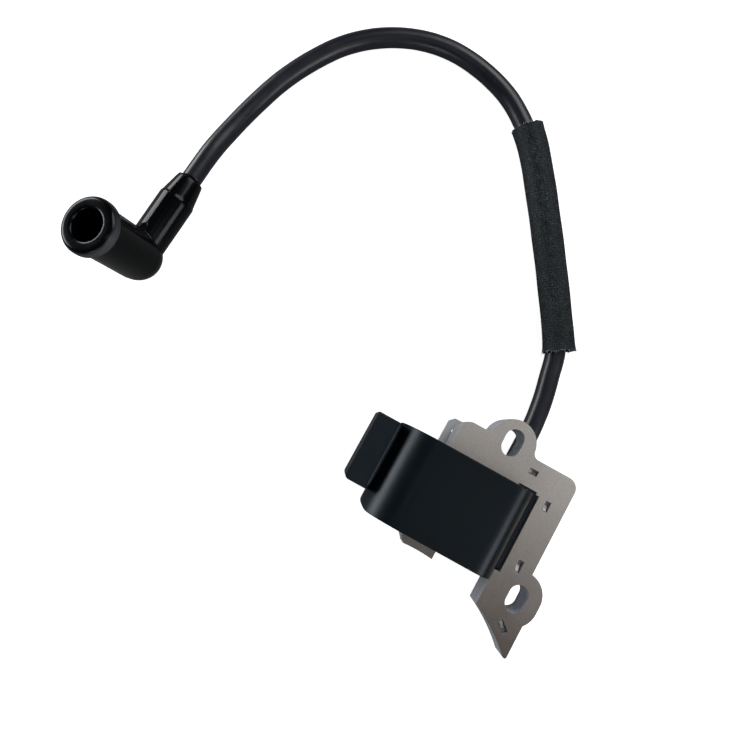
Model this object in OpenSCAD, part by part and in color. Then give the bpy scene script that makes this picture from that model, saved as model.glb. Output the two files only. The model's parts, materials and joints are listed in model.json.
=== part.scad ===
// Flywheel ignition coil: laminated core, potted coil housing, spark lead and elbow plug boot.
// Drawing frame: X runs along the housing from the core leg's centre line towards the spine,
// Y runs away from the flywheel from the top bar's lower edge, Z rises from the housing's back.

/* [Core] */
// Thickness of the whole stack of sheets
core_t = 10; // [8:0.5:12]
// Thickness of one sheet
sheet_t = 0.5; // [0.35:0.05:0.65]
// Width of the leg that carries the coil
leg_w = 10.4; // [8:0.2:12]
// Width of the spine beside the housing
spine_w = 8.4; // [7:0.2:11]
// Height of the top bar over the housing
bar_h = 8.7; // [7:0.1:11]
// Radius of the pole faces, which follow the flywheel with its air gap
pole_r = 50; // [46:0.5:56]
// Distance from the top bar to the leg's end
leg_reach = 28.9; // [26:0.1:36]

/* [Mounting slots] */
// Width of each slot, for an M5 screw
slot_w = 5.5; // [4.2:0.1:6.5]
// Length of each slot from end to end
slot_len = 7.9; // [6.8:0.1:9]
// Metal round each slot
ear_wall = 3.9; // [3:0.1:5]

/* [Coil housing] */
// Length of the housing along the leg
house_len = 26.2; // [23:0.2:27]
// Thickness of the housing through the core
house_t = 24.4; // [24.2:0.2:30]
// Wall of the moulded shell
house_wall = 1.4; // [1:0.1:1.6]
// Left half width of the housing, from the leg's centre line
house_left = 19.6; // [18.6:0.2:24]
// Clearance between the housing and the core
core_gap = 0.15; // [0.05:0.05:0.3]

/* [Windings] */
// Copper depth of the primary winding
primary_depth = 1.6; // [0.8:0.1:1.7]
// Copper depth of the secondary winding
secondary_depth = 1.4; // [0.8:0.1:1.5]
// Sections that the secondary winding is split into
secondary_sections = 5; // [3:1:8]

/* [Stop terminal] */
// Width of the blade
blade_w = 6.3; // [4.8:0.1:6.3]
// Thickness of the blade
blade_t = 0.8; // [0.5:0.1:0.8]
// Height of the blade above the housing
blade_h = 8.9; // [7:0.1:11]

/* [Spark lead] */
// Diameter of the lead
lead_d = 6; // [5:0.1:6.4]
// Outer diameter of the abrasion sleeve
sleeve_d = 9.4; // [8.6:0.1:9.6]
// Wall of the abrasion sleeve
sleeve_wall = 0.5; // [0.3:0.05:0.6]

/* [Plug boot] */
// Bore that grips the spark plug's insulator
boot_bore_d = 9; // [8:0.1:10]
// Outer diameter of the barrel
boot_barrel_d = 13.8; // [13:0.1:13.9]
// Barrel length from the elbow's centre to the mouth
boot_barrel_len = 25; // [20:0.5:30]
// Arm length from the elbow's centre to the collar's end
boot_arm_len = 27; // [25.5:0.5:27]
// Lean of the barrel about the arm
boot_lean = 18; // [0:1:30]
// How far the elbow is opened past a right angle
boot_open = 3.5; // [0:0.5:10]
// Running clearance of the boot on the lead's end
boot_clear = 0.05; // [0.02:0.01:0.1]

/* [Hidden] */
$fn = 64;
eps = 0.01;
bite = 0.02;                    // overlap that makes two rounds cross instead of just touching

// The housing grows with a thicker core or lead, so that the lead keeps its room behind the core
body_t = max(house_t, core_t + 2 * lead_d + 2.4);

// Core outline
spine_x0 = 23.3;
spine_x1 = spine_x0 + spine_w;
crown_h = bar_h + 0.5;          // the bar is a little higher left of the top ear
crown_r = 3.2;
shoulder_r = 3.2;
ear_r = slot_w / 2 + ear_wall;
top_slot = [9.95, bar_h + 0.8];
low_slot = [spine_x1 - 0.8, -leg_reach + 1.4];
valley_r = 2;
shoe_x = spine_x0 - 1.7;        // the pole shoe is wider than the spine
shoe_y = -23.3;
tip_r = 0.6;
tip_x1 = spine_x1 + 4.1;
fly_y = -leg_reach - pole_r;    // centre of the flywheel
tip_c = [tip_x1 - tip_r, fly_y + sqrt(pow(pole_r + tip_r, 2) - pow(tip_x1 - tip_r, 2))];
leg_chamfer = 1.4;
relief = [5.6, 0.7];            // clearance in the bar over the housing's right shoulder
core_z0 = (body_t - core_t) / 2;
core_z1 = core_z0 + core_t;

// Interlock dimples: centre, length and angle
dimple_w = 1.6;
dimple_depth = 1.3;
dimples = [[[18.8, 5.1], 2.7, 0], [[spine_x1 - 5.3, -1.5], 3, 90],
    [[spine_x1 - 4.4, -19.5], 3.5, 90], [[spine_x1 - 0.6, -35.9], 3.6, -38]];

// Housing
house_y1 = -0.15;
house_y0 = house_y1 - house_len;
house_x0 = -house_left;
house_x1 = 21;
house_corner = 6.2;
house_end_r = 3;
rim_len = 22;                   // rim along the spine, lower than the front
rim_z = [core_z0 - 1, core_z1 - 0.6];
cavity_y1 = house_y1 - house_wall;
cavity_y0 = house_y0 + house_wall;
fill_x = [house_x0 + body_t / 2 + 2.4, house_x1 - house_corner - 3];
fill_depth = 0.5;               // the resin stops short of the housing's back

// Spark lead's place in the housing
lead_r = lead_d / 2;
lead_x = house_x1 - 5.4;

// Bobbins and windings: half sizes round the leg along X, with the same steps along Z
bobbin_y1 = cavity_y1 - 0.9;
bobbin_y0 = cavity_y0;
bobbin_len = bobbin_y1 - bobbin_y0;
leg_half = [leg_w / 2, core_t / 2];
tube_in = core_gap;
tube_out = tube_in + 0.8;
former_t = 0.7;
former_play = 0.25;
rim_over = 0.35;
// Room for both bobbins: up to the flat walls, and up to the housing's round left end
room_r = body_t / 2 - house_wall - 0.1;
room_side = leg_half[0] - house_left + body_t / 2;
room = min(room_r - leg_half[1],
    (sqrt(2 * pow(room_r, 2) - pow(room_side - leg_half[1], 2)) - room_side - leg_half[1]) / 2,
    lead_x - lead_r - 1.05 - leg_half[0]);
copper_room = room - tube_out - former_play - former_t - rim_over;
copper_fill = min(1, copper_room / (primary_depth + secondary_depth));
primary_out = tube_out + primary_depth * copper_fill;
former_in = primary_out + former_play;
former_out = former_in + former_t;
secondary_out = former_out + secondary_depth * copper_fill;
former_rim = secondary_out + rim_over;
flange_t = 0.8;
rib_t = 0.5;

// Electronics in the bay left of the windings
board_t = 1.2;
board_x = -(leg_half[0] + former_rim) - 1.6;
board_y = [cavity_y0 + 1.6, cavity_y1 - 1.6];
board_z = [5.2, body_t - 5.2];
mid_z = body_t / 2;

// Terminals
blade_x = -4.2;
blade_z = core_z0 - 1.1;
blade_hole_d = 2;
strap_t = 0.5;
strap_y = cavity_y1 - 0.15;

// Spark lead
lead_z = core_z0 - lead_r - 0.3;
socket_r = lead_r + 0.95;
tail_len = 9;
contact_base = 1.5;

// Boot
arm_angle = 86;
boot_at = [-108.6, 5, boot_barrel_d / 2 + 0.1];
boot_barrel_r = boot_barrel_d / 2;
boot_arm_r = 5.35;
boot_collar_r = 3.9;
boot_shoulder = 20.3;
boot_lip_r = 8.1;
boot_lip_h = 4.2;
boot_cell_r = 4;
boot_cell_z = [-3, 8];
nose_x = 8;
spring_wire_r = 0.45;
spring_r = 3.2;
spring_turns = 5;
tail_r = 0.5;

// Route of the lead from the housing to the boot's collar
route = [
    [lead_x, house_y1, lead_z], [15.7, 9, lead_z], [15.6, 18, min(3.7, lead_z)], [14.8, 26, 3.3],
    [13.2, 33.5, 3.4], [11.2, 40.8, 4], [7.4, 47.2, 4.2], [-0.4, 59.2, 4.2],
    [-8.8, 71.2, 4.2], [-17.4, 83, 4.2], [-24.4, 91.8, 4.2], [-30, 97.4, 3.9],
    [-38.5, 103, 3.2], [-49, 106.2, 3], [-60, 106.9, 3], [-70.5, 104.6, 3],
    [-80.4, 99.4, 3], [-88.6, 92, 3], [-94.8, 82.8, 3], [-99.6, 72.8, 3],
    [-102.9, 62.2, 3.2], [-105, 52, 4.2], [-106.2, 42.6, 5.8]];
// Axis of the loose sleeve, seen from above: beside the lead's route, further with more play
sleeve_play = (sleeve_d / 2 - sleeve_wall - lead_r) / 1.2;
sleeve_first = 5;
sleeve_beside = [[0.8, 0.4], [0.8, 0.1], [0.6, 0], [0.6, 0], [0.6, 0], [1, -0.4], [1.6, -0.8]];

// Direction of the boot's arm, and where its collar ends
arm_dir = [cos(arm_angle), sin(arm_angle), 0];
collar_end = boot_at + arm_dir * boot_arm_len;
lead_points = concat(route, [collar_end]);
sleeve_points = [for (i = [0:len(sleeve_beside) - 1])
    [route[sleeve_first + i][0] + sleeve_beside[i][0] * sleeve_play,
        route[sleeve_first + i][1] + sleeve_beside[i][1] * sleeve_play, sleeve_d / 2 + 0.05]];

// The drawing frame's origin moves to the middle of the coil assembly's footprint
block_x = [house_x0 - 7.4, house_x0 - 0.1];
coil_x = [block_x[0], low_slot[0] + ear_r];
coil_y = [tip_c[1] - tip_r, top_slot[1] + ear_r];
module placed() {
    translate([-(coil_x[0] + coil_x[1]) / 2, -(coil_y[0] + coil_y[1]) / 2, 0]) children();
}

// --- Shared shapes ---

// A swept solid of a ring of points at each route point; inner > 0 leaves it hollow
function unit(v) = v / norm(v);
function heading(p, i) =
    i == 0 ? unit(p[1] - p[0])
    : i == len(p) - 1 ? unit(p[i] - p[i - 1])
    : unit(unit(p[i + 1] - p[i]) + unit(p[i] - p[i - 1]));
function side_of(t) = unit(cross([0, 0, 1], t));
function ring_at(c, t, r, sides) =
    let (s = side_of(t), n = cross(t, s))
    [for (k = [0:sides - 1])
        c + r * (cos(360 * k / sides) * s + sin(360 * k / sides) * n)];
function skin(rings, sides, first, flip) =
    [for (i = [0:rings - 2], k = [0:sides - 1])
        let (a = first + i * sides + k, b = first + i * sides + (k + 1) % sides,
            quad = [a, b, b + sides, a + sides])
        flip ? [quad[3], quad[2], quad[1], quad[0]] : quad];

module swept(p, r, sides, ends = undef) {
    tips = is_undef(ends) ? [heading(p, 0), heading(p, len(p) - 1)] : ends;
    dirs = [for (i = [0:len(p) - 1])
        i == 0 ? tips[0] : i == len(p) - 1 ? tips[1] : heading(p, i)];
    pts = [for (i = [0:len(p) - 1], q = ring_at(p[i], dirs[i], r, sides)) q];
    last = (len(p) - 1) * sides;
    polyhedron(pts, concat(skin(len(p), sides, 0, true),
        [[for (k = [0:sides - 1]) k]],
        [[for (k = [sides - 1:-1:0]) last + k]]), convexity = 10);
}

module swept_tube(p, r, inner, sides) {
    n = len(p);
    pts = [for (rad = [r, inner], i = [0:n - 1], q = ring_at(p[i], heading(p, i), rad, sides)) q];
    hole = n * sides;
    last = (n - 1) * sides;
    mouth = [for (k = [0:sides - 1]) let (j = (k + 1) % sides) [k, j, hole + j, hole + k]];
    far = [for (k = [0:sides - 1]) let (j = (k + 1) % sides)
        [last + j, last + k, hole + last + k, hole + last + j]];
    polyhedron(pts, concat(skin(n, sides, 0, true), skin(n, sides, hole, false), mouth, far),
        convexity = 10);
}

// What is left of a square corner outside its round
module corner_waste(r, turn) {
    rotate(turn) translate([-r, -r]) difference() {
        square(r + 1);
        circle(r);
    }
}

// Rounded valley where a round ear meets a straight edge at height y
module valley(ear, r, y, side) {
    up = y + valley_r - bite;
    x = ear[0] + side * sqrt(pow(r + valley_r - bite, 2) - pow(up - ear[1], 2));
    difference() {
        polygon([[x, up], [x, y - 1], [ear[0], y - 1], ear]);
        translate([x, up]) circle(valley_r);
    }
}

module slot2d(at) {
    reach = (slot_len - slot_w) / 2;
    for (s = [-1, 1]) translate([at[0], at[1] + s * reach]) circle(slot_w / 2);
    translate([at[0] - slot_w / 2, at[1] - reach]) square([slot_w, 2 * reach]);
}

module box(lo, hi) {
    translate(lo) cube(hi - lo);
}

// A block round the leg whose sides stand off the leg by off, between two Y planes
module round_leg(off, y0, y1) {
    box([-leg_half[0] - off, y0, mid_z - leg_half[1] - off],
        [leg_half[0] + off, y1, mid_z + leg_half[1] + off]);
}

module ring_round_leg(off_in, off_out, y0, y1) {
    difference() {
        round_leg(off_out, y0, y1);
        round_leg(off_in, y0 - 1, y1 + 1);
    }
}

// --- Core ---

module pole_shoe2d() {
    touch = [0, fly_y] + (tip_c - [0, fly_y]) * pole_r / (pole_r + tip_r);
    polygon([[shoe_x, shoe_y], [spine_x1 - 1, shoe_y], [spine_x1 - 1, low_slot[1]],
        [tip_x1, low_slot[1]], [tip_x1, tip_c[1]], tip_c, touch, [shoe_x, touch[1]]]);
}

// The core's outline as a plate t thick
module core_plate(t) {
    ear_shift = (slot_len - slot_w) / 2;
    difference() {
        union() {
            translate([-leg_w / 2, -leg_reach - 2, 0]) cube([leg_w, leg_reach + 3, t]);
            translate([-leg_w / 2, 0, 0]) cube([top_slot[0] + leg_w / 2, crown_h, t]);
            translate([top_slot[0] - 1, 0, 0]) cube([spine_x1 - top_slot[0] + 1, bar_h, t]);
            translate([spine_x0, shoe_y - 1, 0]) cube([spine_w, 1 - shoe_y, t]);
            linear_extrude(t) pole_shoe2d();
            translate(top_slot) cylinder(h = t, r = ear_r);
            linear_extrude(t) valley(top_slot, ear_r, crown_h, -1);
            linear_extrude(t) valley(top_slot, ear_r, bar_h, 1);
            for (s = [-1, 1]) translate(low_slot + [0, s * ear_shift]) cylinder(h = t, r = ear_r);
            translate(low_slot - [ear_r, ear_shift]) cube([2 * ear_r, 2 * ear_shift, t]);
        }
        translate([0, fly_y, -1]) cylinder(h = t + 2, r = pole_r, $fn = 256);
        translate([0, 0, -1]) linear_extrude(t + 2) {
            slot2d(top_slot);
            slot2d(low_slot);
            translate([-leg_w / 2, crown_h]) corner_waste(crown_r, 90);
            translate([spine_x1, bar_h]) corner_waste(shoulder_r, 0);
            translate([-leg_w / 2, -leg_reach]) rotate(45)
                square(leg_chamfer * sqrt(2), center = true);
            translate([spine_x0 - 1 - relief[0], -1]) square([relief[0], relief[1] + 1]);
        }
    }
    translate(tip_c) cylinder(h = t, r = tip_r + bite);
}

// Punched window whose floor slopes from one end to the other
module dimple_cuts() {
    for (d = dimples)
        translate([d[0][0], d[0][1], core_z1]) rotate([90, 0, d[2]])
            translate([-d[1] / 2, 0, -dimple_w / 2]) linear_extrude(dimple_w)
                polygon([[0, 1], [d[1], 1], [d[1], -dimple_depth], [d[1] * 0.55, -dimple_depth],
                    [0, -0.35]]);
}

module core_stack() {
    color([0.56, 0.56, 0.57]) difference() {
        translate([0, 0, core_z0 + sheet_t]) core_plate(core_t - 2 * sheet_t);
        dimple_cuts();
    }
}

module front_lamination() {
    color([0.66, 0.64, 0.62]) difference() {
        translate([0, 0, core_z1 - sheet_t]) core_plate(sheet_t);
        dimple_cuts();
    }
}

module back_lamination() {
    color([0.62, 0.61, 0.6])
        translate([0, 0, core_z0]) core_plate(sheet_t);
}

// --- Housing ---

// Outline across the leg: a half round left end and two rounded right corners
module house2d(inset = 0) {
    r = body_t / 2 - inset;
    c = house_corner - inset;
    translate([house_x0 + body_t / 2, mid_z]) circle(r);
    translate([house_x0 + body_t / 2, inset])
        square([house_x1 - house_corner - house_x0 - body_t / 2, 2 * r]);
    for (z = [house_corner, body_t - house_corner])
        translate([house_x1 - house_corner, z]) circle(c);
    translate([house_x1 - house_corner, house_corner])
        square([c, body_t - 2 * house_corner]);
}

module along_leg(y1, y0) {
    translate([0, y1, 0]) rotate([90, 0, 0]) linear_extrude(y1 - y0) children();
}

module cavity() {
    along_leg(cavity_y1, cavity_y0) house2d(house_wall);
    box([fill_x[0], cavity_y0, -1], [fill_x[1], cavity_y1, mid_z]);
}

module lead_bore(r, y0, y1) {
    translate([lead_x, y1, lead_z]) rotate([90, 0, 0]) cylinder(h = y1 - y0, r = r);
}

module socket_body() {
    intersection() {
        lead_bore(socket_r, house_y1 - tail_len - 4, house_y1 - house_wall / 2);
        along_leg(house_y1, house_y0) house2d();
    }
}

module housing_shell() {
    color([0.09, 0.12, 0.14]) difference() {
        union() {
            difference() {
                union() {
                    along_leg(house_y1, house_y0) house2d();
                    box([house_x1 - 1, house_y1 - 0.7 - rim_len, rim_z[0]],
                        [spine_x0 - core_gap, house_y1 - 0.7, rim_z[1]]);
                }
                cavity();
            }
            socket_body();
        }
        translate([house_x0, house_y0, -1]) linear_extrude(body_t + 2)
            corner_waste(house_end_r, 180);
        round_leg(core_gap, house_y0 - 1, house_y1 + 1);
        lead_bore(lead_r + 0.03, house_y1 - tail_len, house_y1 + 1);
        lead_bore(lead_r - 0.6, house_y1 - tail_len - contact_base, house_y1);
        stop_blade(core_gap / 2);
    }
}

module end_block() {
    lip = 0.4;
    z = [4.4, body_t - 4.2];
    y = [house_y1 - 20.9, house_y1 - 0.7];
    color([0.1, 0.13, 0.15]) difference() {
        union() {
            box([block_x[0], y[0], z[0]], [block_x[1], y[1], z[1]]);
            box([block_x[1] - 1, y[0] + 3, mid_z - 4], [block_x[1] + 3, y[1] - 3, mid_z + 4]);
            box([block_x[1] - lip, y[0] + 1, z[1]], [block_x[1], y[1] - 0.3, z[1] + lip / 2]);
        }
        translate([house_x0 + body_t / 2, y[1] + 1, mid_z]) rotate([90, 0, 0])
            cylinder(h = y[1] - y[0] + 2, r = body_t / 2, $fn = 128);
        box([block_x[0] + 1.5, y[0] + 1.5, z[0] - 1], [block_x[1] - 1.5, y[1] - 1.5, mid_z]);
        translate([block_x[0], y[0], z[0] - 1]) linear_extrude(body_t) corner_waste(1.6, 180);
    }
}

module potting_resin() {
    color([0.13, 0.12, 0.11]) difference() {
        intersection() {
            cavity();
            box([-50, -50, fill_depth], [50, 50, body_t]);
        }
        round_leg(former_rim, bobbin_y0 - 1, bobbin_y1);
        round_leg(core_gap, house_y0, house_y1);
        lead_bore(socket_r, house_y1 - tail_len - 4, house_y1);
        ht_contact();
        circuit_board();
        switching_transistor();
        capacitor();
        resistors();
        diodes();
        ground_strap();
        stop_terminal();
    }
}

// --- Windings ---

module primary_bobbin() {
    color([0.85, 0.83, 0.75]) {
        ring_round_leg(tube_in, tube_out, bobbin_y0, bobbin_y1);
        for (y = [bobbin_y0, bobbin_y1 - flange_t])
            ring_round_leg(tube_in, primary_out, y, y + flange_t);
    }
}

module primary_winding() {
    color([0.72, 0.4, 0.2])
        ring_round_leg(tube_out, primary_out, bobbin_y0 + flange_t, bobbin_y1 - flange_t);
}

function rib_y(i) = bobbin_y0 + i * (bobbin_len - rib_t) / secondary_sections;

module secondary_bobbin() {
    color([0.8, 0.78, 0.7]) {
        ring_round_leg(former_in, former_out, bobbin_y0, bobbin_y1);
        for (i = [0:secondary_sections])
            ring_round_leg(former_in, former_rim, rib_y(i), rib_y(i) + rib_t);
    }
}

module secondary_winding() {
    color([0.66, 0.34, 0.16])
        for (i = [0:secondary_sections - 1])
            ring_round_leg(former_out, secondary_out, rib_y(i) + rib_t, rib_y(i + 1));
}

// --- Electronics ---

module circuit_board() {
    color([0.1, 0.35, 0.2])
        box([board_x, board_y[0], board_z[0]], [board_x + board_t, board_y[1], board_z[1]]);
}

// A round part that lies along Z in front of the board, with two legs into its face
module axial_part(y, r, length) {
    x = board_x - r - 0.4;
    translate([x, y, mid_z - length / 2]) cylinder(h = length, r = r, $fn = 32);
    for (s = [-1, 1]) {
        z = mid_z + s * (length / 2 + 1);
        translate([x, y, mid_z + s * (length / 2 + 0.5)])
            cylinder(h = 1.4, r = 0.3, center = true, $fn = 16);
        translate([x, y, z]) rotate([0, 90, 0]) cylinder(h = r + 0.4, r = 0.3, $fn = 16);
    }
}

module switching_transistor() {
    y = board_y[0] + 2.5;
    color([0.08, 0.08, 0.09]) {
        intersection() {
            translate([board_x - 1.2, y, mid_z - 2.3]) cylinder(h = 4.6, r = 2.4);
            box([board_x - 3.6, y - 3, mid_z - 3], [board_x - 0.5, y + 3, mid_z + 3]);
        }
        for (s = [-1, 0, 1])
            translate([board_x - 1.2, y + s * 1.27, mid_z - 3.8])
                cylinder(h = 2, r = 0.25, $fn = 16);
    }
}

module capacitor() {
    y = board_y[1] - 1.2;
    color([0.75, 0.25, 0.12]) {
        box([board_x - 3.9, y - 5.4, mid_z - 3.6], [board_x - 0.4, y, mid_z + 3.6]);
        for (s = [-1, 1])
            translate([board_x - 0.5, y - 2.7, mid_z + s * 2.5]) rotate([0, 90, 0])
                cylinder(h = 0.5, r = 0.3, $fn = 16);
    }
}

module resistors() {
    color([0.7, 0.6, 0.42])
        for (i = [0, 1]) axial_part(mid_y() + i * 2.9, 0.9, 5.2);
}

module diodes() {
    color([0.12, 0.12, 0.13]) axial_part(mid_y() - 2.9, 1.1, 4.4);
}

function mid_y() = board_y[0] + 9.2;

// Earths the board to the core's leg
module ground_strap() {
    color([0.78, 0.78, 0.76]) {
        box([board_x, strap_y - strap_t, mid_z - 2.5],
            [-leg_w / 2 - 0.02, strap_y, mid_z + 2.5]);
        box([board_x, board_y[1], mid_z - 2.5], [board_x + strap_t, strap_y, mid_z + 2.5]);
    }
}

// --- Terminals ---

module stop_blade(grow = 0) {
    y = [strap_y - strap_t - grow, house_y1 + blade_h];
    box([blade_x - blade_w / 2 - grow, y[0], blade_z - blade_t - grow],
        [blade_x + blade_w / 2 + grow, y[1], blade_z + grow]);
}

module stop_terminal() {
    top = house_y1 + blade_h;
    nick = 1.5;
    color([0.76, 0.76, 0.74]) difference() {
        union() {
            stop_blade();
            box([board_x, strap_y - strap_t, blade_z - 3], [blade_x, strap_y, blade_z]);
            box([board_x, board_y[1], blade_z - 3], [board_x + strap_t, strap_y, blade_z]);
        }
        translate([blade_x, top - 3.7, blade_z - 2]) cylinder(h = 4, d = blade_hole_d);
        for (s = [-1, 1])
            translate([blade_x + s * blade_w / 2, top, blade_z - 2]) rotate(45)
                translate([-nick / sqrt(2), -nick / sqrt(2), 0])
                    cube([nick * sqrt(2), nick * sqrt(2), 4]);
    }
}

// Pointed screw that bites into the lead's core
module ht_contact() {
    base_y = house_y1 - tail_len;
    color([0.83, 0.68, 0.32]) {
        lead_bore(lead_r - 0.7, base_y - contact_base + 0.1, base_y - eps);
        translate([lead_x, base_y - eps, lead_z]) rotate([-90, 0, 0])
            cylinder(h = 5, r1 = 0.9, r2 = 0.15, $fn = 32);
    }
}

// --- Spark lead ---

module lead_tail() {
    color([0.07, 0.07, 0.08]) difference() {
        lead_bore(lead_r, house_y1 - tail_len + eps, house_y1);
        translate([lead_x, house_y1 - tail_len - eps, lead_z]) rotate([-90, 0, 0])
            cylinder(h = 5.2, r1 = 0.95, r2 = 0.16, $fn = 32);
    }
}

module ht_lead() {
    color([0.07, 0.07, 0.08]) swept(lead_points, lead_r, 12, [[0, 1, 0], -arm_dir]);
}

module abrasion_sleeve() {
    color([0.05, 0.05, 0.06]) swept_tube(sleeve_points, sleeve_d / 2,
        sleeve_d / 2 - sleeve_wall, 12);
}

// --- Plug boot: drawn with its arm along X and its barrel up, then leaned and placed ---

module boot_frame() {
    translate(boot_at) rotate([0, 0, arm_angle]) children();
}

module leaned() {
    rotate([-boot_lean, 0, 0]) rotate([0, -boot_open, 0]) children();
}

module along_arm(x0, x1, r) {
    translate([x0, 0, 0]) rotate([0, 90, 0]) cylinder(h = x1 - x0, r = r);
}

// The lead's end inside the boot, with a hole for the contact's tail
module lead_nose() {
    color([0.07, 0.07, 0.08]) boot_frame() difference() {
        along_arm(nose_x, boot_arm_len, lead_r);
        along_arm(nose_x - 1, nose_x + 7, tail_r + boot_clear);
    }
}

module boot_outside() {
    barrel_top = boot_barrel_len - boot_lip_h;
    sphere(boot_barrel_r);
    cylinder(h = boot_barrel_len - 1, r = boot_barrel_r);
    translate([0, 0, barrel_top]) rotate_extrude() {
        square([boot_lip_r - 1.4, boot_lip_h]);
        translate([0, 1.4]) square([boot_lip_r, boot_lip_h - 2.8]);
        for (z = [1.4, boot_lip_h - 1.4]) translate([boot_lip_r - 1.4, z]) circle(1.4, $fn = 32);
    }
}

module plug_boot() {
    color([0.05, 0.05, 0.055]) boot_frame() difference() {
        union() {
            leaned() boot_outside();
            along_arm(0, boot_shoulder, boot_arm_r);
            translate([boot_shoulder, 0, 0]) rotate([0, 90, 0])
                cylinder(h = boot_arm_len - boot_shoulder, r1 = boot_arm_r, r2 = boot_collar_r);
        }
        leaned() {
            translate([0, 0, boot_cell_z[1]])
                cylinder(h = boot_barrel_len, r = boot_bore_d / 2);
            translate([0, 0, boot_cell_z[0]])
                cylinder(h = boot_cell_z[1] - boot_cell_z[0] - 0.2, r = boot_cell_r);
            translate([0, 0, boot_cell_z[1] - 0.5])
                cylinder(h = 0.5, r1 = boot_cell_r, r2 = boot_bore_d / 2);
            translate([0, 0, boot_barrel_len - 0.4])
                cylinder(h = 0.8, r1 = boot_bore_d / 2, r2 = boot_bore_d / 2 + 0.8);
        }
        along_arm(0, boot_arm_len + 1, lead_r + boot_clear);
    }
}

module contact_spring() {
    steps = 12;
    rise = (boot_cell_z[1] - boot_cell_z[0] - 3) / (spring_turns * steps);
    coil = [for (i = [0:spring_turns * steps])
        [spring_r * cos(i * 360 / steps), spring_r * sin(i * 360 / steps),
            boot_cell_z[0] + 0.8 + i * rise]];
    color([0.75, 0.75, 0.73]) boot_frame() {
        leaned() swept(coil, spring_wire_r, 6);
        along_arm(spring_r - 0.4, nose_x + 6, tail_r);
    }
}

placed() {
    core_stack();
    front_lamination();
    back_lamination();
    housing_shell();
    end_block();
    potting_resin();
    primary_bobbin();
    primary_winding();
    secondary_bobbin();
    secondary_winding();
    circuit_board();
    switching_transistor();
    capacitor();
    resistors();
    diodes();
    ground_strap();
    stop_terminal();
    ht_contact();
    lead_tail();
    ht_lead();
    abrasion_sleeve();
    lead_nose();
    plug_boot();
    contact_spring();
}
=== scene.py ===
import json
import math

import bmesh
import bpy
import numpy as np
from mathutils import Matrix, Vector


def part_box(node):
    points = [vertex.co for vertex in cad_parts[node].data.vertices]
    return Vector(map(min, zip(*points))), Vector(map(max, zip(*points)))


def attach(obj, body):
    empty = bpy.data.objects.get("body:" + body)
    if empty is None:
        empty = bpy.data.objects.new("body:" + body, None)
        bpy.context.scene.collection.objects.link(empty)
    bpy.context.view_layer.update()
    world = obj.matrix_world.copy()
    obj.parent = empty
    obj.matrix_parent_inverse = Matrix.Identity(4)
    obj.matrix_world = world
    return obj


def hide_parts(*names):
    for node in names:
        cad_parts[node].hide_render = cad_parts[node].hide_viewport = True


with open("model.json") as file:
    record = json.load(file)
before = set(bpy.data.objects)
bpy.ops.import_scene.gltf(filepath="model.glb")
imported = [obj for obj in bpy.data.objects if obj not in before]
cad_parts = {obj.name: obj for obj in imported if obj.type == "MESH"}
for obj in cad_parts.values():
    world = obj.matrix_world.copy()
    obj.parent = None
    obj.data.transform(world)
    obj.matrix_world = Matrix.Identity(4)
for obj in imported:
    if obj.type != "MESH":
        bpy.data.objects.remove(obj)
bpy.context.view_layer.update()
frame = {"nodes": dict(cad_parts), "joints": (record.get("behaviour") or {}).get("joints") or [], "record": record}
mm = 0.001
print("frame loaded:", len(frame["nodes"]), "nodes")

view = {
    "eye": (-0.0414, 0.0027, 0.2262),
    "aim": (-0.03784, 0.0215, 0.0100),
    "up": (-0.4856, 0.8715, 0.0679),
    "lens": 36.5,
}


def newObject(name, data):
    thing = bpy.data.objects.new(name, data)
    bpy.context.scene.collection.objects.link(thing)
    return thing


def lookFrom(eye, aim, up):
    # columns are right, up and backwards, made square to each other by cross products
    forward = (Vector(aim) - Vector(eye)).normalized()
    right = forward.cross(Vector(up)).normalized()
    upright = right.cross(forward)
    turn = Matrix((right, upright, -forward)).transposed().to_4x4()
    return Matrix.Translation(Vector(eye)) @ turn


def addCamera():
    data = bpy.data.cameras.new("viewCamera")
    data.lens = view["lens"]
    data.sensor_width = 36
    data.clip_start = 0.01
    camera = newObject("viewCamera", data)
    camera.matrix_world = lookFrom(view["eye"], view["aim"], view["up"])
    bpy.context.scene.camera = camera


addCamera()


# links the inputs that are given a socket, and sets the default of the others
def feed(tree, node, inputs):
    for key, value in inputs.items():
        if isinstance(value, bpy.types.NodeSocket):
            tree.links.new(value, node.inputs[key])
        else:
            node.inputs[key].default_value = value


def addNode(tree, kind, inputs=None, **settings):
    node = tree.nodes.new(kind)
    for key, value in settings.items():
        setattr(node, key, value)
    feed(tree, node, inputs or {})
    return node


def newGroup(name, inputs, outputs):
    tree = bpy.data.node_groups.new(name, "ShaderNodeTree")
    for label, kind, value in inputs:
        socket = tree.interface.new_socket(label, in_out="INPUT", socket_type=kind)
        socket.default_value = value
    for label, kind in outputs:
        tree.interface.new_socket(label, in_out="OUTPUT", socket_type=kind)
    return tree, tree.nodes.new("NodeGroupInput").outputs, tree.nodes.new("NodeGroupOutput").inputs


def placeGroup(tree, group, inputs):
    return addNode(tree, "ShaderNodeGroup", inputs, node_tree=group).outputs


def mathNode(tree, operation, a, b=0.5, c=None, clamp=False):
    given = {0: a, 1: b} if c is None else {0: a, 1: b, 2: c}
    return addNode(tree, "ShaderNodeMath", given, operation=operation,
                   use_clamp=clamp).outputs[0]


def mixColour(tree, factor, a, b, blend="MIX"):
    return addNode(tree, "ShaderNodeMix", {0: factor, 6: a, 7: b}, data_type="RGBA",
                   blend_type=blend).outputs[2]


def rgb(r, g, b):
    return (r, g, b, 1.0)


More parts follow.
